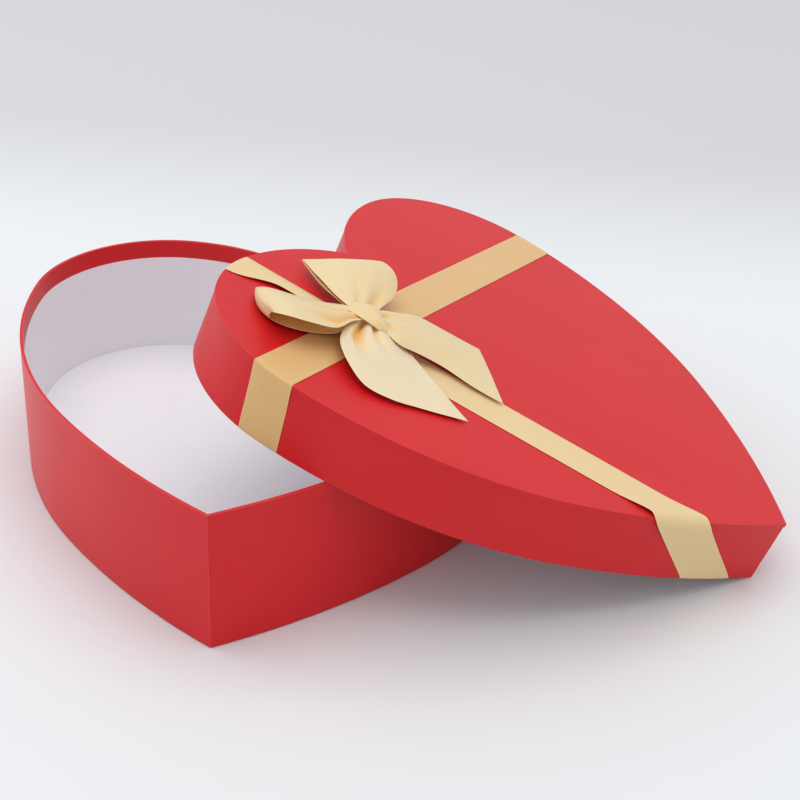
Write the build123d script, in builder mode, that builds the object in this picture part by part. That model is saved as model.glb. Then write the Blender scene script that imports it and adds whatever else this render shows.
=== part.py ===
from build123d import *
import os
from math import asin, atan2, cos, degrees, radians, sin, sqrt

os.makedirs("parts", exist_ok=True)

# Heart outline of the tray, outside
box_width = 250.0
box_length = 253.0
lobe_radius = 63.0
notch_depth = 23.5
# Where the shoulder curve meets the side: shares of the half width, and of the height from the tip to the
# widest line
shoulder_end_shares = (0.628, 0.35)

# Papers and glue
paper = 0.3
lining = 0.3
glue = 0.05

# Tray
tray_height = 65.0
tray_floor_board = 2.0
tray_wall_board = 0.8
rim_turn_in = 9.5
bottom_turn_in = 12.0
bottom_sheet_inset = 3.0

# Lid
lid_depth = 31.3
lid_wall_board = 1.0
lid_top_board = 1.6
lid_clearance = 0.3
lid_turn_in = 12.0

# Corner stays, the gummed tapes that hold the wall boards together at the tip and the notch
stay_reach = 14.0
stay_tape = 0.25
stay_end_gap = 4.0

# How the lid leans: heading of the slope, turn of the lid about its own axis, and the place of the
# contact on the lid's side wall, measured along the lid from its tip
slope_heading = 1.9
lid_turn = 65.9
contact_reach = 157.5
rest_gap = 0.3

# Ribbon bands round the lid. Places on the lid are shares of the half width and the half length.
band_width = 20.0
band_thickness = 0.4
band_turn_in = 14.0
cross_band_near_shares = (-1.0, 0.548)
cross_band_far_shares = (1.0, 0.457)
long_band_notch_shares = (-0.532, 1.0)
long_band_bend_shares = (-0.496, 0.474)
long_band_tip_shares = (-0.368, -0.79)

# Bow, tied where the bands cross. Outlines are shares of the bow's span, from the knot's middle, and the
# loops and tails run in under the knot, where they are cut back to a gap.
bow_span = 40.0
loop_reach_share = 1.08
bow_thickness = 0.6
bow_seat_gap = 0.3
knot_height = 10.0
knot_round = 3.0
loop_height = 10.0
loop_end_height = 3.0
tail_hump = 7.0
tail_end_height = 0.7
# Where along a tail its hump, its first touch and its flat end lie
tail_hump_share = 0.25
tail_landing_share = 0.5
tail_flat_share = 0.75
left_loop_heading = 132.6
left_loop_shares = (
    (-0.06, 0.09), (-0.525, 0.99), (-0.825, 0.89), (-0.95, 0.615), (-0.775, 0.315), (-0.425, 0.03),
    (-0.2, -0.06),
)
top_loop_heading = 42.0
top_loop_shares = (
    (-0.03, 0.08), (0.5, 1.065), (0.875, 0.8), (1.2, 0.49), (1.16, 0.19), (0.925, 0.0), (0.585, -0.05),
    (0.16, -0.035),
)
front_tail_heading = -112.0
front_tail_shares = (
    (-0.12, -0.2), (-0.475, -0.06), (-0.7, -0.16), (-0.86, -0.41), (-0.875, -0.685), (-0.75, -1.01),
    (-0.415, -1.665), (-0.215, -1.21), (-0.04, -0.835), (-0.1, -0.535), (-0.02, -0.2),
)
right_tail_heading = -72.0
right_tail_shares = (
    (0.14, -0.15), (0.55, -0.21), (0.775, -0.4), (1.03, -1.07), (0.79, -1.32), (0.2125, -1.78),
    (0.05, -1.01), (0.02, -0.41), (0.1, -0.18),
)
knot_shares = (
    (-0.088, 0.17), (0.025, 0.19), (0.27, -0.05), (0.205, -0.17), (0.05, -0.238), (-0.04, -0.298),
    (-0.23, -0.15), (-0.23, -0.04),
)

quarter_turn = 90.0

# Arc centres of the right half of the heart
half_width = box_width / 2
half_length = box_length / 2
lobe_centre = Vector(half_width - lobe_radius, half_length - lobe_radius)
notch_radius = (lobe_centre.X**2 + notch_depth**2) / (2 * notch_depth)
notch_centre = Vector(lobe_centre.X, half_length - notch_radius)
tip_point = Vector(0, -half_length)
shoulder_end = Vector(
    half_width * shoulder_end_shares[0],
    -half_length + (lobe_centre.Y + half_length) * shoulder_end_shares[1],
)
shoulder_inset = half_width - shoulder_end.X
shoulder_drop = lobe_centre.Y - shoulder_end.Y
shoulder_radius = (shoulder_inset**2 + shoulder_drop**2) / (2 * shoulder_inset)
shoulder_centre = Vector(half_width - shoulder_radius, lobe_centre.Y)
shoulder_normal = (shoulder_end - shoulder_centre).normalized()
side_chord = tip_point - shoulder_end
side_radius = -side_chord.dot(side_chord) / (2 * shoulder_normal.dot(side_chord))
side_centre = shoulder_end - shoulder_normal * side_radius
shoulder_turn = degrees(atan2(shoulder_normal.Y, shoulder_normal.X))


def tip_of(grow):
    # Height of the tip of the heart grown by an offset
    return side_centre.Y - sqrt((side_radius + grow) ** 2 - side_centre.X**2)


def notch_of(grow):
    # Height of the notch of the heart grown by an offset
    return notch_centre.Y + sqrt((notch_radius + grow) ** 2 - notch_centre.X**2)


def heart(grow, mode=Mode.ADD):
    # Face of the heart grown by an offset: side, shoulder, lobe and notch arcs, mirrored
    tip_turn = degrees(atan2(tip_of(grow) - side_centre.Y, -side_centre.X))
    notch_turn = degrees(atan2(notch_of(grow) - notch_centre.Y, -notch_centre.X))
    with BuildLine() as outline:
        CenterArc(side_centre, side_radius + grow, tip_turn, shoulder_turn - tip_turn)
        CenterArc(shoulder_centre, shoulder_radius + grow, shoulder_turn, -shoulder_turn)
        CenterArc(lobe_centre, lobe_radius + grow, 0, quarter_turn)
        CenterArc(notch_centre, notch_radius + grow, quarter_turn, notch_turn - quarter_turn)
        mirror(about=Plane.YZ)
    make_face(outline.edges(), mode=mode)


def slab(plane, grow, low, high, mode=Mode.ADD):
    # Heart-shaped plate between two heights
    with BuildSketch(plane.offset(low)) as face:
        heart(grow)
    extrude(face.sketch, amount=high - low, mode=mode)


def wall(plane, outer, inner, low, high, mode=Mode.ADD):
    # Heart-shaped wall between two offsets and two heights
    with BuildSketch(plane.offset(low)) as face:
        heart(outer)
        heart(inner, Mode.SUBTRACT)
    extrude(face.sketch, amount=high - low, mode=mode)


def side_plane(plane):
    # The plane through the heart's axis, facing the right half
    return Plane(origin=plane.origin, x_dir=plane.y_dir, z_dir=plane.x_dir)


def keep_corner(plane, reach, at_tip, low, high):
    # Keeps only what lies within a reach of the axis, at the tip or at the notch
    with BuildSketch(plane.offset(low)) as face:
        with Locations((0, -half_length if at_tip else half_length)):
            Rectangle(2 * reach, box_length)
    extrude(face.sketch, amount=high - low, mode=Mode.INTERSECT)


def export(piece, name):
    piece.part.label = name
    export_step(piece.part, "parts/" + name + ".step")


# Tray heights and offsets, from the underside up and from the outside in
tray_plane = Plane.XY
wrap_bottom = paper + glue
board_bottom = wrap_bottom + paper + glue
floor_top = board_bottom + tray_floor_board
tray_board_out = -(paper + glue)
tray_board_in = tray_board_out - tray_wall_board
tray_lining_out = tray_board_in - glue
tray_inside = tray_lining_out - lining
tray_board_top = tray_height - paper - glue

with BuildPart() as base_bottom_sheet:
    slab(tray_plane, -bottom_sheet_inset, 0, paper)
export(base_bottom_sheet, "base_bottom_sheet")

with BuildPart() as base_floor_board:
    slab(tray_plane, tray_lining_out, board_bottom, floor_top)
export(base_floor_board, "base_floor_board")

# The red wrap: outside skin, over the rim, a band turned in below it and a border turned under the bottom
with BuildPart() as base_side_wrap:
    slab(tray_plane, 0, wrap_bottom, tray_height)
    with BuildSketch(tray_plane.offset(wrap_bottom)) as bottom_opening:
        heart(0)
        offset(amount=-bottom_turn_in)
    extrude(bottom_opening.sketch, amount=paper, mode=Mode.SUBTRACT)
    slab(tray_plane, -paper, wrap_bottom + paper, tray_height - rim_turn_in, Mode.SUBTRACT)
    wall(tray_plane, -paper, tray_lining_out, tray_height - rim_turn_in, tray_height - paper, Mode.SUBTRACT)
    slab(tray_plane, tray_lining_out - paper, tray_height - rim_turn_in, tray_height, Mode.SUBTRACT)
export(base_side_wrap, "base_side_wrap")

with BuildPart() as base_wall_liner:
    wall(tray_plane, tray_lining_out, tray_inside, floor_top + glue, tray_height - rim_turn_in - glue)
export(base_wall_liner, "base_wall_liner")

with BuildPart() as base_floor_liner:
    slab(tray_plane, tray_inside - glue, floor_top + glue, floor_top + glue + lining)
export(base_floor_liner, "base_floor_liner")


def stay(plane, board_out, at_tip, low, high, room):
    # Tape folded round a corner of the boards, or with room added, the pocket that it is pressed into
    wall(plane, board_out + room, board_out - stay_tape - room, low - room, high + room)
    keep_corner(plane, stay_reach + room, at_tip, low - room, high + room)


tray_stay_low = board_bottom + stay_end_gap
tray_stay_high = tray_board_top - stay_end_gap
with BuildPart() as base_tip_stay:
    stay(tray_plane, tray_board_out, True, tray_stay_low, tray_stay_high, 0)
export(base_tip_stay, "base_tip_stay")
with BuildPart() as base_tip_pocket:
    stay(tray_plane, tray_board_out, True, tray_stay_low, tray_stay_high, glue)
with BuildPart() as base_notch_stay:
    stay(tray_plane, tray_board_out, False, tray_stay_low, tray_stay_high, 0)
export(base_notch_stay, "base_notch_stay")
with BuildPart() as base_notch_pocket:
    stay(tray_plane, tray_board_out, False, tray_stay_low, tray_stay_high, glue)

for side, keep in (("right", Keep.TOP), ("left", Keep.BOTTOM)):
    with BuildPart() as base_wall_board:
        wall(tray_plane, tray_board_out, tray_board_in, board_bottom, tray_board_top)
        add(base_tip_pocket.part, mode=Mode.SUBTRACT)
        add(base_notch_pocket.part, mode=Mode.SUBTRACT)
        split(bisect_by=side_plane(tray_plane).offset(glue if keep == Keep.TOP else -glue), keep=keep)
    export(base_wall_board, "base_wall_board_" + side)

# Lid offsets from the inside out, and heights from its top down
lid_inside = lid_clearance
lid_board_in = lid_inside + lining + glue
lid_board_out = lid_board_in + lid_wall_board
lid_wall_out = lid_board_out + glue + paper
lid_edge = lid_wall_out + glue + paper
top_board_high = -(paper + glue)
top_board_low = top_board_high - lid_top_board
ceiling = top_board_low - glue - lining
lid_board_low = -lid_depth + paper + glue
lid_board_high = top_board_low - glue

# The lid stands with its tip on the table and its side wall on the tray's rim, and slopes down along the
# heading. The contact is the corner where the lid's inside meets the tray's outside.
turn_cos = cos(radians(lid_turn))
turn_sin = sin(radians(lid_turn))
contact_y = -half_length + contact_reach
if contact_y > lobe_centre.Y:
    contact_arc = (lobe_centre, lobe_radius)
elif contact_y > shoulder_end.Y:
    contact_arc = (shoulder_centre, shoulder_radius)
else:
    contact_arc = (side_centre, side_radius)
contact_rise = contact_y - contact_arc[0].Y
contact_x = -contact_arc[0].X - sqrt((contact_arc[1] + lid_inside) ** 2 - contact_rise**2)
slope_run = turn_sin * (contact_y - tip_of(lid_wall_out)) - turn_cos * contact_x
slope_sin = (tray_height + rest_gap) / slope_run
lid_slope = degrees(asin(slope_sin))

# The tray's lobe reaches up under the lid's ceiling, which sets how far the lid lies over the tray
heading = Vector(cos(radians(slope_heading)), sin(radians(slope_heading)))
across = Vector(-heading.Y, heading.X)
lobe_reach = lobe_centre.dot(heading) + lobe_radius
contact_run = lobe_reach - (lid_depth + ceiling - rest_gap * (1 - cos(radians(lid_slope)))) / slope_sin
side_run = contact_run - side_centre.dot(heading)
rim_contact = side_centre + heading * side_run - across * sqrt(side_radius**2 - side_run**2)

leaning = (
    Location((0, 0, 0), (0, 0, slope_heading))
    * Location((0, 0, 0), (0, lid_slope, 0))
    * Location((0, 0, 0), (0, 0, lid_turn))
)
leaning_plane = Plane(leaning)
contact_from_top = leaning_plane.from_local_coords(Vector(contact_x, contact_y, -lid_depth))
lid_origin = rim_contact + Vector(0, 0, tray_height + rest_gap) - contact_from_top
lid_plane = Plane(origin=lid_origin, x_dir=leaning_plane.x_dir, z_dir=leaning_plane.z_dir)

with BuildPart() as lid_top_panel:
    slab(lid_plane, lid_wall_out, top_board_low, top_board_high)
export(lid_top_panel, "lid_top_board")

# The top sheet is turned down over the edge of the top board, which leaves a fine seam round the lid
with BuildPart() as lid_top_sheet:
    slab(lid_plane, lid_edge, top_board_low, 0)
    slab(lid_plane, lid_wall_out + glue, top_board_low, -paper, Mode.SUBTRACT)
export(lid_top_sheet, "lid_top_sheet")

with BuildPart() as lid_side_wrap:
    wall(lid_plane, lid_wall_out, lid_inside, -lid_depth, lid_board_high)
    lid_fold = lid_inside + lining
    wall(lid_plane, lid_wall_out - paper, lid_fold, -lid_depth + paper, lid_board_high, Mode.SUBTRACT)
    slab(lid_plane, lid_fold, -lid_depth + lid_turn_in, lid_board_high, Mode.SUBTRACT)
export(lid_side_wrap, "lid_side_wrap")

with BuildPart() as lid_wall_liner:
    wall(lid_plane, lid_inside + lining, lid_inside, -lid_depth + lid_turn_in + glue, lid_board_high)
export(lid_wall_liner, "lid_wall_liner")

with BuildPart() as lid_top_liner:
    slab(lid_plane, lid_inside - glue, ceiling, ceiling + lining)
export(lid_top_liner, "lid_top_liner")

lid_stay_low = lid_board_low + stay_end_gap
lid_stay_high = lid_board_high - stay_end_gap
with BuildPart() as lid_tip_stay:
    stay(lid_plane, lid_board_out, True, lid_stay_low, lid_stay_high, 0)
export(lid_tip_stay, "lid_tip_stay")
with BuildPart() as lid_tip_pocket:
    stay(lid_plane, lid_board_out, True, lid_stay_low, lid_stay_high, glue)
with BuildPart() as lid_notch_stay:
    stay(lid_plane, lid_board_out, False, lid_stay_low, lid_stay_high, 0)
export(lid_notch_stay, "lid_notch_stay")
with BuildPart() as lid_notch_pocket:
    stay(lid_plane, lid_board_out, False, lid_stay_low, lid_stay_high, glue)

for side, keep in (("right", Keep.TOP), ("left", Keep.BOTTOM)):
    with BuildPart() as lid_wall_panel:
        wall(lid_plane, lid_board_out, lid_board_in, lid_board_low, lid_board_high)
        add(lid_tip_pocket.part, mode=Mode.SUBTRACT)
        add(lid_notch_pocket.part, mode=Mode.SUBTRACT)
        split(bisect_by=side_plane(lid_plane).offset(glue if keep == Keep.TOP else -glue), keep=keep)
    export(lid_wall_panel, "lid_wall_board_" + side)


def lid_place(shares):
    # Point of the lid's plane from its shares
    return Vector(half_width * shares[0], half_length * shares[1])


# Offsets and heights of a band wrapped round the lid's edge, under its rim and up inside
band_out = lid_edge + glue
band_in = lid_inside - glue
band_low = -lid_depth - glue - band_thickness
long_level = glue
cross_level = long_level + band_thickness + glue


def band_shell(level):
    # Skin over the top, down the side, under the rim and up the inside, all round the lid
    slab(lid_plane, band_out + band_thickness, band_low, level + band_thickness)
    slab(lid_plane, band_out, -lid_depth - glue, level, Mode.SUBTRACT)
    slab(lid_plane, band_in - band_thickness, band_low, -lid_depth - glue, Mode.SUBTRACT)
    wall(lid_plane, band_in, band_in - band_thickness, band_low, -lid_depth + band_turn_in)


def strip(points):
    # Outline of a ribbon laid along a line of points, one width wide
    left = []
    right = []
    for index, point in enumerate(points):
        before = points[max(index - 1, 0)]
        after = points[min(index + 1, len(points) - 1)]
        along = (after - before).normalized()
        aside = Vector(-along.Y, along.X) * (band_width / 2)
        left.append(point + aside)
        right.append(point - aside)
    Polygon(*left, *reversed(right), align=None)


def overrun(start, end):
    # A point past the lid's edge, in line with two points of a band
    return end + (end - start).normalized() * band_width


cross_near = lid_place(cross_band_near_shares)
cross_far = lid_place(cross_band_far_shares)
with BuildPart() as ribbon_cross:
    band_shell(cross_level)
    with BuildSketch(lid_plane.offset(band_low)) as cross_strip:
        strip([overrun(cross_far, cross_near), overrun(cross_near, cross_far)])
    extrude(cross_strip.sketch, amount=cross_level + band_thickness - band_low, mode=Mode.INTERSECT)
export(ribbon_cross, "ribbon_cross")

# Near the tip the long band meets the edge aslant and runs on down the side at the same slant
long_notch = lid_place(long_band_notch_shares)
long_bend = lid_place(long_band_bend_shares)
long_tip = lid_place(long_band_tip_shares)
long_strip = [overrun(long_bend, long_notch), long_bend, overrun(long_bend, long_tip)]
left_side_centre = Vector(-side_centre.X, side_centre.Y)
tip_way = (long_tip - long_bend).normalized()
to_centre = left_side_centre - long_bend
centre_run = to_centre.dot(tip_way)
centre_off = to_centre - tip_way * centre_run
edge_run = centre_run + sqrt((side_radius + band_out) ** 2 - centre_off.dot(centre_off))
edge_point = long_bend + tip_way * edge_run
edge_normal = (edge_point - left_side_centre).normalized()
edge_way = Vector(-edge_normal.Y, edge_normal.X)
slant_cos = tip_way.dot(edge_normal)
slant_sin = tip_way.dot(edge_way)
edge_half = band_width / 2 / slant_cos
drop = long_level - band_low
edge_plane = Plane(
    origin=lid_plane.from_local_coords(edge_point),
    x_dir=lid_plane.from_local_coords(edge_way) - lid_plane.origin,
    z_dir=lid_plane.from_local_coords(edge_normal) - lid_plane.origin,
)
wall_depth = band_out + band_thickness - band_in + band_width

with BuildPart() as slanted_end:
    band_shell(long_level)
    with BuildSketch(edge_plane.offset(-wall_depth)) as slant:
        shift = drop * slant_sin / slant_cos
        top_edge = [(-edge_half, long_level), (edge_half, long_level)]
        low_edge = [(edge_half + shift, long_level - drop), (shift - edge_half, long_level - drop)]
        Polygon(*top_edge, *low_edge, align=None)
    extrude(slant.sketch, amount=wall_depth + band_width, mode=Mode.INTERSECT)

with BuildPart() as ribbon_long:
    band_shell(long_level)
    with BuildSketch(lid_plane.offset(band_low)) as long_outline:
        strip(long_strip)
    extrude(long_outline.sketch, amount=long_level + band_thickness - band_low, mode=Mode.INTERSECT)
    with BuildSketch(lid_plane.offset(band_low)) as tip_half:
        with Locations((0, -half_length)):
            Rectangle(2 * box_width, box_length)
    extrude(tip_half.sketch, amount=long_level - band_low, mode=Mode.SUBTRACT)
    add(slanted_end.part)
export(ribbon_long, "ribbon_long")

# The bow's knot sits where the bands cross
cross_way = (cross_far - cross_near).normalized()
cross_normal = Vector(-cross_way.Y, cross_way.X)
notch_way = long_notch - long_bend
crossing = long_bend + notch_way * ((cross_near - long_bend).dot(cross_normal) / notch_way.dot(cross_normal))
bow_seat = cross_level + band_thickness + bow_seat_gap
bow_plane = Plane(
    origin=lid_plane.from_local_coords(crossing + Vector(0, 0, bow_seat)),
    x_dir=lid_plane.x_dir,
    z_dir=lid_plane.z_dir,
)


def bow_outline(shares):
    # Plan of one piece of the bow
    Polygon(*[(bow_span * x, bow_span * y) for x, y in shares], align=None)


def standing_plane(turn):
    # Upright plane through the knot, facing sideways, with its x axis along a piece of the bow
    way = bow_plane.x_dir * cos(radians(turn)) + bow_plane.y_dir * sin(radians(turn))
    return Plane(origin=bow_plane.origin, x_dir=way, z_dir=way.cross(bow_plane.z_dir))


def reach_of(shares, turn):
    # How far a piece of the bow runs from the knot along its heading
    return max(bow_span * (x * cos(radians(turn)) + y * sin(radians(turn))) for x, y in shares)


def keep_plan(shares):
    # Keeps only what lies over a piece's plan, clear of the knot
    with BuildSketch(bow_plane) as plan:
        bow_outline(shares)
    extrude(plan.sketch, amount=bow_span, mode=Mode.INTERSECT)
    add(knot_room.part, mode=Mode.SUBTRACT)


with BuildPart() as bow_knot:
    with BuildSketch(bow_plane) as knot_plan:
        bow_outline(knot_shares)
    extrude(knot_plan.sketch, amount=knot_height)
    knot_top = bow_knot.faces().sort_by(Axis(bow_plane.origin, bow_plane.z_dir))[-1]
    fillet(knot_top.edges(), min(knot_round, knot_height / 2))
export(bow_knot, "bow_knot")

with BuildPart() as knot_room:
    with BuildSketch(bow_plane) as knot_room_plan:
        bow_outline(knot_shares)
        offset(amount=bow_seat_gap, kind=Kind.INTERSECTION)
    extrude(knot_room_plan.sketch, amount=bow_span)


def bow_loop(shares, turn):
    # Flattened loop: a lens-shaped hollow with a ribbon skin round it, cut to the loop's plan
    end = bow_span * loop_reach_share - bow_thickness
    with BuildSketch(standing_plane(turn)) as side:
        with BuildLine() as lens:
            knot_end = (0, loop_end_height)
            far_end = (end, loop_end_height)
            ThreePointArc(knot_end, (end / 2, loop_height - bow_thickness), far_end)
            ThreePointArc(far_end, (end / 2, bow_thickness), knot_end)
        make_face(lens.edges())
        offset(amount=bow_thickness)
        make_face(lens.edges(), mode=Mode.SUBTRACT)
    extrude(side.sketch, amount=2 * bow_span, both=True)
    keep_plan(shares)


def bow_tail(shares, turn):
    # Tail: a ribbon that rises from the knot, humps and comes down to lie on the lid, cut to its plan
    end = reach_of(shares, turn) + bow_thickness
    with BuildSketch(standing_plane(turn)) as side:
        with BuildLine() as run:
            landing = (end * tail_landing_share, loop_end_height)
            ThreePointArc((0, loop_end_height), (end * tail_hump_share, tail_hump), landing)
            ThreePointArc(landing, (end * tail_flat_share, tail_end_height), (end, tail_end_height))
        trace(run.edges(), bow_thickness)
    extrude(side.sketch, amount=2 * bow_span, both=True)
    keep_plan(shares)


with BuildPart() as bow_left_loop:
    bow_loop(left_loop_shares, left_loop_heading)
export(bow_left_loop, "bow_left_loop")

with BuildPart() as bow_top_loop:
    bow_loop(top_loop_shares, top_loop_heading)
export(bow_top_loop, "bow_top_loop")

with BuildPart() as bow_front_tail:
    bow_tail(front_tail_shares, front_tail_heading)
export(bow_front_tail, "bow_front_tail")

with BuildPart() as bow_right_tail:
    bow_tail(right_tail_shares, right_tail_heading)
export(bow_right_tail, "bow_right_tail")
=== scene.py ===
import math

import bmesh
import bpy
from mathutils import Matrix, Vector, noise
from mathutils.bvhtree import BVHTree


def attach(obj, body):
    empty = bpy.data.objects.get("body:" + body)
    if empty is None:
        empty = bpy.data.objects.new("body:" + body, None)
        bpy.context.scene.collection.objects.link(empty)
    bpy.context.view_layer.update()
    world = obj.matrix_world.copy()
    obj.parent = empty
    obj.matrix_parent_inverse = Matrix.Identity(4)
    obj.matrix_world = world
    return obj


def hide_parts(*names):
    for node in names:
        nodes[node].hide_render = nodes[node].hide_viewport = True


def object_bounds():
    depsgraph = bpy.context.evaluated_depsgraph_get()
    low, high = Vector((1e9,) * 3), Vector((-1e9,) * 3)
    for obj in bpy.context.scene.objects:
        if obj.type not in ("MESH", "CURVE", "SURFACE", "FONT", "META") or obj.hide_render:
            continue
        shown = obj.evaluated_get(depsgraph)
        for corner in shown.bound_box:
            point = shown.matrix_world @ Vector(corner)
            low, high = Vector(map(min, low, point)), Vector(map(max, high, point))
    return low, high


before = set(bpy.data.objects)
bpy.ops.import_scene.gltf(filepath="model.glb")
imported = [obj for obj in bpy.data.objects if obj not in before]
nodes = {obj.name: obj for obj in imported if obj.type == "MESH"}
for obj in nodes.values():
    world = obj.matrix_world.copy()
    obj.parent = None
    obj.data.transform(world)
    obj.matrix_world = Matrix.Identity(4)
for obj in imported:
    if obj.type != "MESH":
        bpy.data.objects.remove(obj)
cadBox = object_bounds()
mm = 0.001
print("frame loaded,", len(nodes), "CAD nodes")

# How the lid leans, as in the CAD: its place and the three turns, in mm and degrees
lidPose = {"origin": (124.205, 7.051, 68.712), "heading": 1.9, "slope": 19.469, "turn": 65.9}


def turnAbout(axis, angle):
    return Matrix.Rotation(math.radians(angle), 4, axis)


lidToRow = (
    Matrix.Translation(Vector(lidPose["origin"]) * mm)
    @ turnAbout("Z", lidPose["heading"])
    @ turnAbout("Y", lidPose["slope"])
    @ turnAbout("Z", lidPose["turn"])
)
rowToLid = lidToRow.inverted()


def onLid(place):
    # a place on the lid in mm (right, towards the lobes, above its top) as a point of the frame
    return lidToRow @ (Vector(place) * mm)


# Camera, at the photograph's angle
photoCamera = {
    "place": (0.11057, -0.61977, 0.40677),
    "azimuth": 4.38,  # degrees round the box
    "elevation": 29.77,  # degrees above the table
    "roll": 2.59,
    "focal": 1562.4,  # pixels of the square frame
    "frame": 800,
    "sensor": 36,
}


def makeCamera(spec):
    a = math.radians(spec["azimuth"])
    e = math.radians(spec["elevation"])
    back = Vector((math.sin(a) * math.cos(e), -math.cos(a) * math.cos(e), math.sin(e)))
    right = Vector((math.cos(a), math.sin(a), 0))
    turn = Matrix((right, back.cross(right), back)).transposed().to_4x4() @ turnAbout("Z", spec["roll"])
    data = bpy.data.cameras.new("photoCamera")
    data.sensor_width = spec["sensor"]
    data.lens = spec["focal"] / spec["frame"] * spec["sensor"]
    data.clip_start = 0.01
    camera = bpy.data.objects.new("photoCamera", data)
    camera.matrix_world = Matrix.Translation(spec["place"]) @ turn
    bpy.context.scene.collection.objects.link(camera)
    bpy.context.scene.camera = camera


makeCamera(photoCamera)
print("camera placed")


# Materials

def startMaterial(name):
    material = bpy.data.materials.new(name)
    material.use_nodes = True
    tree = material.node_tree
    return material, tree, tree.nodes["Principled BSDF"]


def addNode(tree, kind, **settings):
    node = tree.nodes.new(kind)
    for key, value in settings.items():
        if key in node.inputs:
            node.inputs[key].default_value = value
        else:
            setattr(node, key, value)
    return node


def addRamp(tree, source, low, high, lowColour, highColour):
    ramp = tree.nodes.new("ShaderNodeValToRGB")
    ramp.color_ramp.elements[0].position = low
    ramp.color_ramp.elements[1].position = high
    ramp.color_ramp.elements[0].color = (*lowColour, 1)
    ramp.color_ramp.elements[1].color = (*highColour, 1)
    tree.links.new(source, ramp.inputs["Fac"])
    return ramp.outputs["Color"]


def addGrey(tree, source, low, high):
    span = tree.nodes.new("ShaderNodeMapRange")
    span.inputs["To Min"].default_value = low
    span.inputs["To Max"].default_value = high
    tree.links.new(source, span.inputs["Value"])
    return span.outputs["Result"]


def addBump(tree, shader, heights):
    # heights: pairs of a height output and its depth in metres, stacked into one normal
    normal = None
    for height, depth in heights:
        bump = addNode(tree, "ShaderNodeBump", Strength=1.0, Distance=depth)
        tree.links.new(height, bump.inputs["Height"])
        if normal:
            tree.links.new(normal, bump.inputs["Normal"])
        normal = bump.outputs["Normal"]
    tree.links.new(normal, shader.inputs["Normal"])


def mixColours(tree, factor, first, second):
    mix = tree.nodes.new("ShaderNodeMix")
    mix.data_type = "RGBA"
    tree.links.new(factor, mix.inputs["Factor"])
    for value, socket in ((first, mix.inputs[6]), (second, mix.inputs[7])):
        if isinstance(value, tuple):
            socket.default_value = (*value, 1)
        else:
            tree.links.new(value, socket)
    return mix.outputs[2]


redPaperFinish = {
    "deep": (0.630, 0.0075, 0.0105),
    "bright": (0.670, 0.0095, 0.013),
    "worn": (0.76, 0.10, 0.11),
    "rub": (0.1, 0.75),  # least and most of the worn colour on a fold
    "gloss": 0.32,  # weak reflection seen from the front, strong at a shallow angle
    "roughness": (0.35, 0.43),
    "mottle": 22,  # per metre
    "fibre": 900,
    "grain": 2600,
    "fibreDepth": 0.00003,  # metres
    "grainDepth": 0.00002,
}


def redPaper(name, finish, worn):
    material, tree, shader = startMaterial(name)
    place = tree.nodes.new("ShaderNodeTexCoord").outputs["Object"]
    mottle = addNode(tree, "ShaderNodeTexNoise", Scale=finish["mottle"], Detail=3.0)
    fibre = addNode(tree, "ShaderNodeTexNoise", Scale=finish["fibre"], Detail=4.0, Roughness=0.65)
    grain = addNode(tree, "ShaderNodeTexVoronoi", Scale=finish["grain"])
    for texture in (mottle, fibre, grain):
        tree.links.new(place, texture.inputs["Vector"])
    colour = addRamp(tree, mottle.outputs["Fac"], 0.3, 0.7, finish["deep"], finish["bright"])
    if worn:
        edge = tree.nodes.new("ShaderNodeAttribute")
        edge.attribute_name = "foldWear"
        rub = addNode(tree, "ShaderNodeMath", operation="MULTIPLY")
        tree.links.new(edge.outputs["Fac"], rub.inputs[0])
        tree.links.new(addGrey(tree, fibre.outputs["Fac"], *finish["rub"]), rub.inputs[1])
        colour = mixColours(tree, rub.outputs[0], colour, finish["worn"])
    tree.links.new(colour, shader.inputs["Base Color"])
    tree.links.new(addGrey(tree, fibre.outputs["Fac"], *finish["roughness"]), shader.inputs["Roughness"])
    shader.inputs["Specular IOR Level"].default_value = finish["gloss"]
    heights = (
        (fibre.outputs["Fac"], finish["fibreDepth"]),
        (grain.outputs["Distance"], finish["grainDepth"]),
    )
    addBump(tree, shader, heights)
    return material


plainPapers = {
    # cloud and fibre are per metre
    "whiteLiningPaper": {
        "low": (0.87, 0.855, 0.885), "high": (0.885, 0.872, 0.90), "cloud": 60, "fibre": 1400,
    },
    "greyBoard": {
        "low": (0.33, 0.30, 0.26), "high": (0.47, 0.43, 0.38), "cloud": 500, "fibre": 2200,
    },
    "brownStayTape": {
        "low": (0.44, 0.30, 0.16), "high": (0.55, 0.39, 0.22), "cloud": 300, "fibre": 1800,
    },
}
plainTouch = {"roughness": (0.6, 0.76), "fibreDepth": 0.00005, "cloudDepth": 0.00008}  # of all three


def plainPaper(name, finish):
    material, tree, shader = startMaterial(name)
    place = tree.nodes.new("ShaderNodeTexCoord").outputs["Object"]
    cloud = addNode(tree, "ShaderNodeTexNoise", Scale=finish["cloud"], Detail=5.0, Roughness=0.6)
    fibre = addNode(tree, "ShaderNodeTexNoise", Scale=finish["fibre"], Detail=5.0, Roughness=0.7)
    for texture in (cloud, fibre):
        tree.links.new(place, texture.inputs["Vector"])
    colour = addRamp(tree, cloud.outputs["Fac"], 0.25, 0.75, finish["low"], finish["high"])
    tree.links.new(colour, shader.inputs["Base Color"])
    tree.links.new(addGrey(tree, fibre.outputs["Fac"], *plainTouch["roughness"]), shader.inputs["Roughness"])
    heights = (
        (fibre.outputs["Fac"], plainTouch["fibreDepth"]),
        (cloud.outputs["Fac"], plainTouch["cloudDepth"]),
    )
    addBump(tree, shader, heights)
    return material


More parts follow.
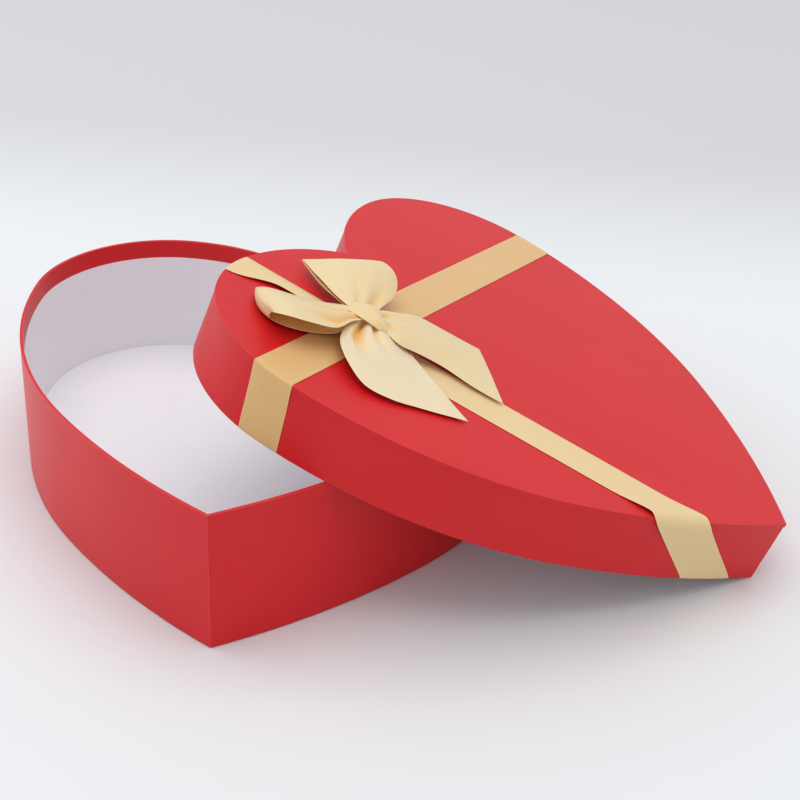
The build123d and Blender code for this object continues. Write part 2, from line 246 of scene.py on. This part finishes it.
satinTones = {
    # painted sheen: the two bands are one satin in two tones, the long band painted paler than the cross
    # band for the light its thread direction catches
    "cross": {"base": (0.72, 0.445, 0.185), "pale": (0.74, 0.46, 0.195), "roughness": 0.33, "sheen": 0.1},
    "long": {"base": (0.79, 0.585, 0.30), "pale": (0.81, 0.60, 0.315), "roughness": 0.33, "sheen": 0.1},
    "face": {"base": (0.78, 0.61, 0.345), "pale": (0.81, 0.64, 0.37), "roughness": 0.36, "sheen": 0.15},
    # painted sheen: the bow's face satin painted paler, for the front tail that catches more light
    "bright": {"base": (0.80, 0.67, 0.44), "pale": (0.83, 0.70, 0.465), "roughness": 0.36, "sheen": 0.15},
    # the ribbon's back: its own matte reverse side, painted a brighter orange as painted glow for the light
    # through the cloth into the loops
    "back": {"base": (0.94, 0.65, 0.25), "pale": (0.96, 0.67, 0.27), "roughness": 0.5, "sheen": 0.0},
}
satinWeave = {
    # painted glow: the warm orange the creases are painted with, in place of light through the cloth
    "crease": (0.92, 0.54, 0.16),
    "threads": 3600,  # per metre across the ribbon
    "threadDepth": 0.000004,  # metres
    "picks": 2300,  # per metre along it
    "pickDepth": 0.000003,
    "slub": 140,
    "slubDepth": 0.000002,
    "slubRoughness": 0.02,  # more or less than the tone's own
    # painted highlight along the ribbon's edges: how wide, how much of it and how much paler
    "edgeHighlightWidth": 0.0009,  # metres
    "edgeHighlightShare": 0.6,
    "edgeHighlightPaler": 1.18,
    "gloss": 0.5,
    "glossTint": (1.0, 0.82, 0.55),
    "anisotropy": 0.55,
    "sheenRoughness": 0.4,
    "sheenTint": (1.0, 0.93, 0.80),
}


def satin(name, tone, width):
    # the UV map holds the place on the flat ribbon in metres: across, then along
    weave = satinWeave
    material, tree, shader = startMaterial(name)
    ribbon = tree.nodes.new("ShaderNodeUVMap")
    ribbon.uv_map = "ribbon"
    apart = tree.nodes.new("ShaderNodeSeparateXYZ")
    tree.links.new(ribbon.outputs["UV"], apart.inputs["Vector"])
    perWave = 2 * math.pi / 20  # the wave texture has 20 radians per unit
    perMetre = weave["threads"] * perWave
    threads = addNode(tree, "ShaderNodeTexWave", Scale=perMetre, Distortion=1.5, Detail=2.0)
    perMetre = weave["picks"] * perWave
    picks = addNode(tree, "ShaderNodeTexWave", Scale=perMetre, Distortion=0.6, Detail=1.0)
    picks.bands_direction = "Y"
    stretch = addNode(tree, "ShaderNodeMapping", Scale=(weave["slub"] * 4, weave["slub"] / 3, 1))
    slub = addNode(tree, "ShaderNodeTexNoise", Scale=1.0, Detail=3.0)
    tree.links.new(ribbon.outputs["UV"], stretch.inputs["Vector"])
    tree.links.new(stretch.outputs["Vector"], slub.inputs["Vector"])
    for texture in (threads, picks):
        tree.links.new(ribbon.outputs["UV"], texture.inputs["Vector"])
    colour = addRamp(tree, slub.outputs["Fac"], 0.25, 0.75, tone["base"], tone["pale"])
    # painted highlight: the ribbon's edges are painted a little paler, lifting the shade along them
    inwards = addNode(tree, "ShaderNodeMath", operation="PINGPONG")
    inwards.inputs[1].default_value = width / 2
    tree.links.new(apart.outputs["X"], inwards.inputs[0])
    edge = addNode(tree, "ShaderNodeMapRange")
    edge.inputs["From Max"].default_value = weave["edgeHighlightWidth"]
    edge.inputs["To Min"].default_value = weave["edgeHighlightShare"]
    edge.inputs["To Max"].default_value = 0
    tree.links.new(inwards.outputs[0], edge.inputs["Value"])
    paintedEdgeHighlight = tuple(min(weave["edgeHighlightPaler"] * c, 0.98) for c in tone["base"])
    colour = mixColours(tree, edge.outputs["Result"], colour, paintedEdgeHighlight)
    # painted glow: the creases are painted a warm orange by this attribute, in place of the light that comes
    # through the cloth
    crease = tree.nodes.new("ShaderNodeAttribute")
    crease.attribute_name = "paintedCreaseGlow"
    colour = mixColours(tree, crease.outputs["Fac"], colour, weave["crease"])
    tree.links.new(colour, shader.inputs["Base Color"])
    least, most = tone["roughness"] - weave["slubRoughness"], tone["roughness"] + weave["slubRoughness"]
    tree.links.new(addGrey(tree, slub.outputs["Fac"], least, most), shader.inputs["Roughness"])
    shader.inputs["Specular IOR Level"].default_value = weave["gloss"]
    shader.inputs["Specular Tint"].default_value = (*weave["glossTint"], 1)
    shader.inputs["Anisotropic"].default_value = weave["anisotropy"]
    shader.inputs["Sheen Weight"].default_value = tone["sheen"]
    shader.inputs["Sheen Roughness"].default_value = weave["sheenRoughness"]
    shader.inputs["Sheen Tint"].default_value = (*weave["sheenTint"], 1)
    along = tree.nodes.new("ShaderNodeTangent")
    along.direction_type = "UV_MAP"
    along.uv_map = "ribbon"
    tree.links.new(along.outputs["Tangent"], shader.inputs["Tangent"])
    heights = (
        (threads.outputs["Fac"], weave["threadDepth"]),
        (picks.outputs["Fac"], weave["pickDepth"]),
        (slub.outputs["Fac"], weave["slubDepth"]),
    )
    addBump(tree, shader, heights)
    return material


bandWidth = 20 * mm
bowWidth = 38 * mm
wornRed = redPaper("wornRedPaper", redPaperFinish, True)
hiddenRed = redPaper("redPaper", redPaperFinish, False)
whitePaper, greyBoard, brownTape = (plainPaper(name, finish) for name, finish in plainPapers.items())
bandSatin = {
    "ribbonCross": satin("crossBandSatin", satinTones["cross"], bandWidth),
    "ribbonLong": satin("longBandSatin", satinTones["long"], bandWidth),
}
bowSatin = {
    tone: satin(tone + "BowSatin", satinTones[tone], bowWidth) for tone in ("face", "bright", "back")
}
for nodeName, node in nodes.items():
    if "stay" in nodeName:
        finish = brownTape
    elif "board" in nodeName:
        finish = greyBoard
    elif "liner" in nodeName:
        finish = whitePaper
    else:
        finish = hiddenRed
    node.data.materials.clear()
    node.data.materials.append(finish)
print("materials made")


# Red papers: copies of the CAD papers with soft folds where the paper turns over a board's edge

def newPiece(name, bm, material, body, slot, *stoodFor):
    mesh = bpy.data.meshes.new(name)
    bm.to_mesh(mesh)
    bm.free()
    piece = bpy.data.objects.new(name, mesh)
    bpy.context.scene.collection.objects.link(piece)
    mesh.materials.append(material)
    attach(piece, body)
    if stoodFor:
        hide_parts(*stoodFor)
    return piece


foldLook = {"least": 40, "crisp": 35, "nearEnd": 0.05, "sliver": 1e-9}  # degrees, mm and square metres
paperFolds = {
    # radius of the folds in mm
    "trayWrap": {"node": "base_side_wrap", "body": "base", "radius": 0.55, "leaning": False},
    "lidTopSheet": {"node": "lid_top_sheet", "body": "lid", "radius": 0.5, "leaning": True},
    "lidSideWrap": {"node": "lid_side_wrap", "body": "lid", "radius": 0.5, "leaning": True},
}


def foldedPaper(name, spec):
    bm = bmesh.new()
    bm.from_mesh(nodes[spec["node"]].data)
    bmesh.ops.remove_doubles(bm, verts=bm.verts, dist=1e-6)
    bmesh.ops.join_triangles(
        bm, faces=bm.faces, angle_face_threshold=math.radians(1), angle_shape_threshold=math.radians(180)
    )
    toLocal = rowToLid if spec["leaning"] else Matrix.Identity(4)
    heights = [(toLocal @ v.co).z for v in bm.verts]
    ends = (min(heights), max(heights))
    wear = bm.verts.layers.float.new("foldWear")

    def isFold(edge):
        if len(edge.link_faces) != 2 or edge.calc_face_angle_signed(0) < math.radians(foldLook["least"]):
            return False
        if min(f.calc_area() for f in edge.link_faces) < foldLook["sliver"]:
            return False
        places = [(toLocal @ v.co).z for v in edge.verts]
        return all(min(abs(z - end) for end in ends) < foldLook["nearEnd"] * mm for z in places)

    folds = [edge for edge in bm.edges if isFold(edge)]
    made = bmesh.ops.bevel(
        bm, geom=folds, offset=spec["radius"] * mm, offset_type="OFFSET", affect="EDGES", segments=3,
        profile=0.5, clamp_overlap=True, material=-1,
    )
    rounded = set(made["faces"])
    for v in {v for face in rounded for v in face.verts}:
        if rounded.issuperset(v.link_faces):  # on the fold itself, not where it meets the flat paper
            v[wear] = 1.0
    for face in bm.faces:
        face.smooth = True
    piece = newPiece(name, bm, wornRed, spec["body"], "red_paper", spec["node"])
    piece.data.set_sharp_from_angle(angle=math.radians(foldLook["crisp"]))
    flat = piece.modifiers.new("flatPaper", "WEIGHTED_NORMAL")  # the folds don't shade the flat paper
    flat.keep_sharp = True


for paperName, paperSpec in paperFolds.items():
    foldedPaper(paperName, paperSpec)
    print("folded", paperName)


# Ribbons

def between(points, share):
    # smooth curve through given points, share from 0 at the first to 1 at the last
    last = len(points) - 1
    at = min(share * last, last - 1e-6)
    i = int(at)
    t = at - i
    p0, p1, p2, p3 = (points[min(max(k, 0), last)] for k in (i - 1, i, i + 1, i + 2))
    slope = p2 - p0
    bend = 2 * p0 - 5 * p1 + 4 * p2 - p3
    twist = 3 * p1 - p0 - 3 * p2 + p3
    return 0.5 * (2 * p1 + slope * t + bend * t**2 + twist * t**3)


def ribbonGrid(across, along, surface, width, length):
    # a flat grid whose vertices move to the ribbon's surface, with the flat place kept as the UV map
    bm = bmesh.new()
    bmesh.ops.create_grid(bm, x_segments=across, y_segments=along, size=0.5)
    flat = bm.loops.layers.uv.new("ribbon")
    for face in bm.faces:
        face.smooth = True
        for loop in face.loops:
            loop[flat].uv = ((loop.vert.co.x + 0.5) * width, (loop.vert.co.y + 0.5) * length)
    for v in bm.verts:
        v.co = surface(v.co.x + 0.5, v.co.y + 0.5)
    return bm


def finishRibbon(piece, thickness):
    solid = piece.modifiers.new("thickness", "SOLIDIFY")
    solid.thickness = thickness * mm
    solid.offset = 0
    smooth = piece.modifiers.new("smooth", "SUBSURF")
    smooth.levels = 1
    smooth.render_levels = 1


# The two bands round the lid. Each lengthwise thread is laid over the top, down the side, under the rim
# and inside. All lengths are in mm.
bandLay = {
    "thickness": 0.24,
    "lift": 0.2,  # mid line over the paper
    "skirt": 0.35,  # how far the top sheet's edge stands out from the side
    "skirtEnds": (4, 10),  # depths between which the band comes in to the side below that edge
    "foldTurns": (0, 22.5, 45, 67.5, 90),  # degrees
    "sideDepths": (4, 7, 10, 14, 18, 22, 26, 30.6),
    "rim": -31.3,
    "insideRises": (0.6, 4, 9, 14),  # above the rim, up to the turned-in end
    "bulgeOnTop": 16,  # how far a fold that stands off is felt over the top and down the side
    "bulgeDownSide": 18,
    "threads": 12,
    "steps": 20,
}
# Ends: how far the band follows its slant down the side, a lean of its own, and how wide its fold over the
# lid's edge is and stands off. The crossing is where one band rises over the other, and the gather is where
# the bow pulls one edge in.
bandPaths = {
    "ribbonCross": {
        "node": "ribbon_cross",
        "points": ((-125, 69.32), (125, 57.81)),
        "ends": (
            {"slant": 0, "lean": 0.15, "fold": 1.1, "stand": 0.25},
            {"slant": 0, "lean": 0, "fold": 1.1, "stand": 0.25},
        ),
        "crossing": {"at": (-62, 66), "reach": 30, "rise": 0.45},
    },
    "ribbonLong": {
        "node": "ribbon_long",
        "points": ((-66.5, 126.5), (-62, 59.96), (-48.8, -99.94)),
        "ends": (
            {"slant": 0, "lean": 0, "fold": 1.1, "stand": 0.25},
            {"slant": 1, "lean": 0, "fold": 4.5, "stand": 1.65},
        ),
        "gather": {
            "from": 126, "to": 104, "flatFrom": 60, "flatBy": 44,  # along the lid
            "inwards": 9, "rise": 1.6, "swell": 0.9,
        },
    },
}


def paperTree(nodeName):
    bm = bmesh.new()
    bm.from_mesh(nodes[nodeName].data)
    tree = BVHTree.FromBMesh(bm)
    bm.free()
    return tree


outerTree = paperTree("lid_top_sheet")
wallTree = paperTree("lid_side_wrap")


def lidHit(tree, start, way):
    # first meeting with a lid paper, from a place on the lid along a way, both in mm
    heading = lidToRow.to_3x3() @ Vector(way).normalized()
    place, normal = tree.ray_cast(onLid(start), heading)[:2]
    return rowToLid @ place / mm, rowToLid.to_3x3() @ normal


def ease(value, start, end):
    t = min(max((value - start) / (end - start), 0), 1)
    return t * t * (3 - 2 * t)


def edgeAt(corner, way):
    # where a line on the lid's top reaches its edge, with the ways out of and along the side there
    wellOut = 60
    edge, normal = lidHit(outerTree, Vector((corner.x, corner.y, -1)) + way * wellOut, -way)
    normal.z = 0
    normal.normalize()
    return edge, normal, Vector((-normal.y, normal.x, 0))


def sideDrift(corner, way, end):
    # how far a band moves along the side for each mm down, the same for all its threads
    edge, normal, tangent = edgeAt(corner, way)
    leastOutward = 0.2  # a band almost along the side doesn't run away with it
    return tangent.dot(way) / max(normal.dot(way), leastOutward) * end["slant"] + end["lean"]


def bandEnd(corner, way, end, drift):
    # the stretch of one thread from the lid's edge down, under the rim and up inside, in mm on the lid
    edge, normal, tangent = edgeAt(corner, way)
    out, rim = bandLay["lift"], bandLay["rim"]
    fold, stand = end["fold"], end["stand"]
    side = out + bandLay["skirt"]
    clear, aboveRim = 8, 3  # a start for looking at the side wall, off it
    belowFold = 1.5
    points = []

    def gapAt(depth):
        return out + bandLay["skirt"] * (1 - ease(depth, *bandLay["skirtEnds"]))

    for turn in bandLay["foldTurns"]:
        s, c = math.sin(math.radians(turn)), math.cos(math.radians(turn))
        step = normal * (stand + fold * (s - 1)) + tangent * drift * (fold - stand) * (1 - c)
        points.append(Vector((edge.x, edge.y, stand + fold * (c - 1))) + step)
    for depth in [d for d in bandLay["sideDepths"] if d > fold - stand + belowFold]:
        place = Vector((edge.x, edge.y, -depth)) + tangent * drift * depth
        wall = lidHit(wallTree, place + normal * clear, -normal)[0]
        bulge = max(stand - side, 0) * (1 - ease(depth, fold - stand, bandLay["bulgeDownSide"]))
        points.append(Vector((wall.x, wall.y, -depth)) + normal * (gapAt(depth) + bulge))
    foot = points[-1] - normal * out
    inside = Vector((foot.x, foot.y, rim + aboveRim)) - normal * clear
    inner = lidHit(wallTree, inside, normal)[0] - normal * out
    points.append(Vector((foot.x, foot.y, rim - out)))
    points.append(Vector((inner.x, inner.y, rim - out)) + normal * (out * 2))
    for rise in bandLay["insideRises"]:
        points.append(Vector((inner.x, inner.y, rim + rise)))
    return points


def bandThread(spec, share):
    # one lengthwise thread of a band, at its share of the width
    offset = (share - 0.5) * bandWidth / mm
    points = [Vector((x, y, 0)) for x, y in spec["points"]]
    ways = [(b - a).normalized() for a, b in zip(points, points[1:])]
    asides = [Vector((-w.y, w.x, 0)) for w in ways]
    firstEnd, lastEnd = spec["ends"]
    drifts = sideDrift(points[0], -ways[0], firstEnd), sideDrift(points[-1], ways[-1], lastEnd)
    first = bandEnd(points[0] + asides[0] * offset, -ways[0], firstEnd, drifts[0])
    last = bandEnd(points[-1] + asides[-1] * offset, ways[-1], lastEnd, drifts[1])
    bends = [p + (a + b).normalized() * offset for p, a, b in zip(points[1:-1], asides, asides[1:])]
    stops = [first[0], *bends, last[0]]
    top = []
    for a, b in zip(stops, stops[1:]):
        top += [a.lerp(b, k / bandLay["steps"]) for k in range(1, bandLay["steps"] + 1)]
    lift, reach = bandLay["lift"], bandLay["bulgeOnTop"]
    bulges = ((first[0].xy, firstEnd["stand"] - lift), (last[0].xy, lastEnd["stand"] - lift))
    for p in top:
        p.z = lift + sum(height * (1 - ease((p.xy - fold).length, 0, reach)) for fold, height in bulges)
        if "crossing" in spec:
            crossing = spec["crossing"]
            away = (p.xy - Vector(crossing["at"])).length
            p.z += crossing["rise"] * (1 - ease(away, crossing["reach"] / 2, crossing["reach"]))
        if "gather" in spec:
            gather = spec["gather"]
            pull = ease(-p.y, -gather["from"], -gather["to"])
            pull *= 1 - ease(-p.y, -gather["flatFrom"], -gather["flatBy"])
            p.z += pull * (gather["rise"] * (1 - share) + gather["swell"] * math.sin(math.pi * share))
            p.x += pull * gather["inwards"] * (1 - share)
    return list(reversed(first)) + top[:-1] + last


def layBand(name, spec):
    count = bandLay["threads"]
    threads = [bandThread(spec, k / count) for k in range(count + 1)]
    rows = len(threads[0])
    length = sum((b - a).length for a, b in zip(threads[count // 2], threads[count // 2][1:])) * mm

    def surface(u, v):
        return onLid(threads[round(u * count)][round(v * (rows - 1))])

    bm = ribbonGrid(count, rows - 1, surface, bandWidth, length)
    bmesh.ops.recalc_face_normals(bm, faces=bm.faces)
    piece = newPiece(name, bm, bandSatin[name], "lid", "gold_satin", spec["node"])
    finishRibbon(piece, bandLay["thickness"])
    print(name, "laid, cut length", round(length, 3))


for bandName, bandSpec in bandPaths.items():
    layBand(bandName, bandSpec)


# The bow. Each station across a ribbon is its two edges on the lid in mm, how far its middle swells and
# how deep its creases are. A crease is its place across the ribbon, its width and its share of the depth.
# The cut size is the flat ribbon's, in mm: the ribbon is 38 mm wide, and the knot's turn is folded to about
# a third of that. A tail is cut aslant, so it also has the lengths of its two edges and the line of its cut
# on the lid. Warm is how much of the painted crease glow a whole piece is painted with.
bowPieces = {
    "bowTopLoop": {
        "node": "bow_top_loop",
        "cutSize": (38, 91),
        "creases": ((0.36, 0.09, 0.55), (0.72, 0.13, 1.05)),
        "stations": (
            ((-60, 71, 6.5), (-54, 64, 5), 0, 1.6),
            ((-60, 75, 7), (-51, 65, 4.5), 0, 1.8),
            ((-56, 86.5, 6.6), (-38, 70, 3.5), 0, 0.8),
            ((-47.5, 98.5, 4.6), (-26, 77, 5), 0, 0),
            ((-38.2, 110.6, 3.6), (-20.5, 85, 11), 0, 0),
            ((-39.5, 109, 4.6), (-17.5, 83, 14), 1.2, 0),
            ((-45.5, 101.2, 5.8), (-16.8, 76.5, 13), 3.2, 0),
            ((-52, 92, 7.2), (-20, 71, 10), 4, 0.3),
            ((-57.5, 83.5, 8.2), (-30, 66.8, 7.8), 3.5, 1.3),
            ((-60.5, 75.5, 8.5), (-47, 65, 8), 1.5, 2.8),
            ((-61, 70, 8.2), (-54, 62, 8.2), 0, 1.4),
        ),
    },
    "bowLeftLoop": {
        "node": "bow_left_loop",
        "cutSize": (38, 95),
        "creases": ((0.38, 0.10, 0.9), (0.74, 0.10, 1.2)),
        "stations": (
            ((-59, 70, 5), (-66, 64, 5), 0, 3),
            ((-60.5, 75, 4.8), (-70.5, 67.2, 5), 0, 3.2),
            ((-61, 84, 2.8), (-77.5, 68.5, 3.2), 0, 1.4),
            ((-64.5, 93, 2.2), (-85.5, 75, 2), 0, 0.3),
            ((-72.5, 102.5, 2), (-92.5, 83.6, 1.8), 0, 0),
            ((-79.5, 108.4, 2.4), (-97, 90.8, 3), 2, 0),
            ((-80.3, 108.4, 3.2), (-98.4, 91, 6.4), 3, 0),
            ((-76.8, 105.6, 3.6), (-102, 87.4, 9.6), 3, 0),
            ((-72, 97.5, 3.6), (-102.3, 81.3, 12), 3.2, 0),
            ((-66, 89, 4), (-97.5, 74.1, 12), 3.2, 0.6),
            ((-60.5, 81, 5.6), (-87, 66.3, 10.6), 2.4, 2.6),
            ((-60, 75, 8), (-72, 65.8, 9.4), 1, 1.8),
            ((-59, 70, 8.4), (-63, 63.5, 8.6), 0, 1.0),
        ),
    },
    "bowFrontTail": {
        "node": "bow_front_tail",
        # painted sheen: the paler bright tone
        "tone": "bright",
        "cutSize": (38, 102),
        "edges": (102, 36),
        "creases": ((0.28, 0.085, 1.25), (0.60, 0.06, 0.6)),
        "cut": ((-77.5, 0.3), (-68.8, 18.2)),
        "stations": (
            ((-60, 67, 7.4), (-58, 57, 7.6), 0, 0.8),
            ((-66, 67.5, 6.6), (-59, 54.5, 7.4), 0.8, 2.6),
            ((-78.5, 66.2, 6.4), (-59, 49, 5.8), 2, 3.4),
            ((-89, 61, 6.2), (-58.5, 43.5, 4), 2.2, 1.5),
            ((-96.5, 51.8, 4.8), (-57.5, 38.5, 3), 1.6, 0.3),
            ((-101, 40.5, 3), (-55.5, 33.5, 2.4), 1, 0.1),
            ((-97.7, 29.2, 2), (-52.5, 28, 2), 0.6, 0),
            ((-90.3, 19, 1.4), (-48.5, 21.5, 2), 0.4, 0),
            ((-84.3, 10.2, 1.2), (-44, 14, 1.8), 0.2, 0),
            ((-74, -4, 1.2), (-37, 3, 1.6), 0, 0),
        ),
    },
    "bowRightTail": {
        "node": "bow_right_tail",
        "cutSize": (38, 64),
        "edges": (64, 60),
        "creases": ((0.22, 0.08, 1), (0.62, 0.10, 0.7)),
        "cut": ((-48.9, -3.6), (-17.8, 24.3)),
        "stations": (
            ((-56, 65, 8.4), (-60, 57, 8), 0, 1.2),
            ((-49, 64.2, 8.4), (-61.5, 53, 7.4), 0.6, 2.6),
            ((-42, 59.7, 8.2), (-62.5, 45.4, 6.6), 2, 1.1),
            ((-31.4, 52.1, 7), (-57.6, 37.7, 5.2), 2.2, 0.2),
            ((-25.4, 40, 5), (-52, 26, 3.2), 1.5, 0),
            ((-17.8, 24.3, 2.5), (-51, 12.2, 2.2), 0.8, 0),
            ((-12, 13, 2), (-48.5, -3.4, 1.6), 0.3, 0),
            ((-6, 0, 2), (-44, -18, 1.6), 0, 0),
        ),
    },
    "bowKnot": {
        "node": "bow_knot",
        # painted glow over the whole knot
        "warm": 0.14,
        "cutSize": (11, 37),
        "creases": ((0.34, 0.12, 1),),
        "stations": (
            ((-63, 76, 2.5), (-52, 77, 2.5), 0.5, 0.1),
            ((-64.5, 74.5, 6), (-52.5, 75.5, 6.5), 0.8, 0.2),
            ((-64.5, 71, 8.8), (-54, 71.5, 9.8), 1.2, 0.3),
            ((-65.8, 65.5, 9.5), (-54.5, 64.5, 11.4), 1.3, 0.4),
            ((-65.5, 60, 9), (-58.5, 58.5, 10.8), 1.1, 0.4),
            ((-63.5, 55, 7.2), (-60.5, 54, 8.5), 0.6, 0.2),
            ((-62.5, 52.5, 4), (-60, 52, 4.5), 0.3, 0),
            ((-62, 53, 2), (-60, 53, 2), 0, 0),
        ),
    },
}
# warmth is how strongly the creases are painted with the warm glow, per mm of crease depth
bowLay = {"thickness": 0.24, "across": 48, "along": 90, "wrinkle": 0.25, "wrinkleSize": 14, "warmth": 0.28}


def bowSurface(spec):
    stations = spec["stations"]
    leftEdge = [Vector(s[0]) for s in stations]
    rightEdge = [Vector(s[1]) for s in stations]
    swells = [s[2] for s in stations]
    depths = [s[3] for s in stations]

    def frameAt(v):
        left, right = between(leftEdge, v), between(rightEdge, v)
        step = 0.01
        before = between(leftEdge, max(v - step, 0)) + between(rightEdge, max(v - step, 0))
        after = between(leftEdge, min(v + step, 1)) + between(rightEdge, min(v + step, 1))
        return left, right, (after - before).cross(right - left).normalized()

    face = 1 if frameAt(0.75)[2].z > 0 else -1  # the outer face looks up on the upper layer

    def surface(u, v):
        left, right, normal = frameAt(v)
        swell = between(swells, v) * (1 - (2 * u - 1) ** 2)
        place = left.lerp(right, u)
        ripple = noise.noise(place / bowLay["wrinkleSize"]) * bowLay["wrinkle"]
        return onLid(place + normal * face * (swell - creaseAt(u, v) + ripple))

    def creaseAt(u, v):
        valleys = sum(share * math.exp(-(((u - at) / wide) ** 2)) for at, wide, share in spec["creases"])
        return max(between(depths, v), 0) * valleys

    return surface, creaseAt, face


def tieBow(name, spec):
    surface, creaseAt, face = bowSurface(spec)
    steps = 60
    middle = [surface(0.5, k / steps) for k in range(steps + 1)]
    length = sum((b - a).length for a, b in zip(middle, middle[1:]))
    bm = ribbonGrid(bowLay["across"], bowLay["along"], surface, bowWidth, length)
    flat = bm.loops.layers.uv["ribbon"]
    # painted glow: each vertex gets a share of the crease colour from its crease depth, plus the piece's
    # warm share
    depth = bm.verts.layers.float.new("paintedCreaseGlow")
    for patch in bm.faces:
        for loop in patch.loops:
            across, along = loop[flat].uv
            fold = creaseAt(across / bowWidth, along / length) * bowLay["warmth"]
            loop.vert[depth] = min(fold + spec.get("warm", 0), 1)
    if "cut" in spec:
        start, end = (onLid((*p, 0)) for p in spec["cut"])
        up = lidToRow.to_3x3() @ Vector((0, 0, 1))
        outward = (end - start).cross(up)
        geometry = bm.verts[:] + bm.edges[:] + bm.faces[:]
        bmesh.ops.bisect_plane(bm, geom=geometry, plane_co=start, plane_no=outward, clear_outer=True)
    if face > 0:  # the grid's faces look the other way
        bmesh.ops.reverse_faces(bm, faces=bm.faces)
    piece = newPiece(name, bm, bowSatin[spec.get("tone", "face")], "lid", "gold_satin", spec["node"])
    # the back of the ribbon takes the back tone: its own reverse side, painted brighter orange as painted
    # glow
    piece.data.materials.append(bowSatin["back"])
    finishRibbon(piece, bowLay["thickness"])
    piece.modifiers["thickness"].material_offset = 1
    area = sum(p.area for p in piece.data.polygons)
    cutSize = [side * mm for side in spec["cutSize"]]
    cutArea = cutSize[0] * sum(spec.get("edges", [spec["cutSize"][1]] * 2)) / 2 * mm
    print(name, "tied, length", round(length, 3), "area", round(area * 1e4, 1), "cm2")


for bowName, bowSpec in bowPieces.items():
    tieBow(bowName, bowSpec)


# Table and light
tableTop = {
    "size": 8,
    "near": (0.785, 0.805, 0.81),
    # painted shade: the table is painted darker towards the back, in place of the light falling off there
    "far": (0.62, 0.62, 0.63),
    "sweep": (0.22, 0.50),  # from near to far, metres behind the box's middle
    "roughness": 0.6,
}


def makeTable(spec):
    bm = bmesh.new()
    bmesh.ops.create_grid(bm, x_segments=1, y_segments=1, size=spec["size"])
    mesh = bpy.data.meshes.new("tableTop")
    bm.to_mesh(mesh)
    bm.free()
    table = bpy.data.objects.new("tableTop", mesh)
    bpy.context.scene.collection.objects.link(table)
    material, tree, shader = startMaterial("paleTable")
    shader.inputs["Roughness"].default_value = spec["roughness"]
    apart = tree.nodes.new("ShaderNodeSeparateXYZ")
    tree.links.new(tree.nodes.new("ShaderNodeTexCoord").outputs["Object"], apart.inputs["Vector"])
    away = addNode(tree, "ShaderNodeMapRange", interpolation_type="SMOOTHSTEP")
    away.inputs["From Min"].default_value, away.inputs["From Max"].default_value = spec["sweep"]
    tree.links.new(apart.outputs["Y"], away.inputs["Value"])
    # painted shade: darker towards the back of the table
    colour = mixColours(tree, away.outputs["Result"], spec["near"], spec["far"])
    tree.links.new(colour, shader.inputs["Base Color"])
    mesh.materials.append(material)


makeTable(tableTop)

studio = {
    "sky": (0.94, 0.96, 1.0),
    "skyStrength": 0.76,
    "key": {"place": (0.05, 0.15, 2.2), "size": 2.4, "power": 23, "colour": (1.0, 0.98, 0.96)},
    "fill": {"place": (-1.6, 0.3, 0.6), "size": 1.4, "power": 6.5, "colour": (0.84, 0.92, 1.0)},
}


def softBox(name, spec, target):
    light = bpy.data.lights.new(name, "AREA")
    light.shape = "SQUARE"
    light.size = spec["size"]
    light.energy = spec["power"]
    light.color = spec["colour"]
    lamp = bpy.data.objects.new(name, light)
    place = Vector(spec["place"])
    aim = (target - place).to_track_quat("-Z", "Y").to_matrix().to_4x4()
    lamp.matrix_world = Matrix.Translation(place) @ aim
    bpy.context.scene.collection.objects.link(lamp)


world = bpy.data.worlds.new("studio")
bpy.context.scene.world = world
world.use_nodes = True
sky = world.node_tree.nodes["Background"]
sky.inputs["Color"].default_value = (*studio["sky"], 1)
sky.inputs["Strength"].default_value = studio["skyStrength"]
boxMiddle = (cadBox[0] + cadBox[1]) / 2
softBox("keyLight", studio["key"], boxMiddle)
softBox("fillLight", studio["fill"], boxMiddle)
bpy.context.scene.view_settings.view_transform = "Standard"
print("table and light set")

print("box of the CAD model", [list(p) for p in cadBox])
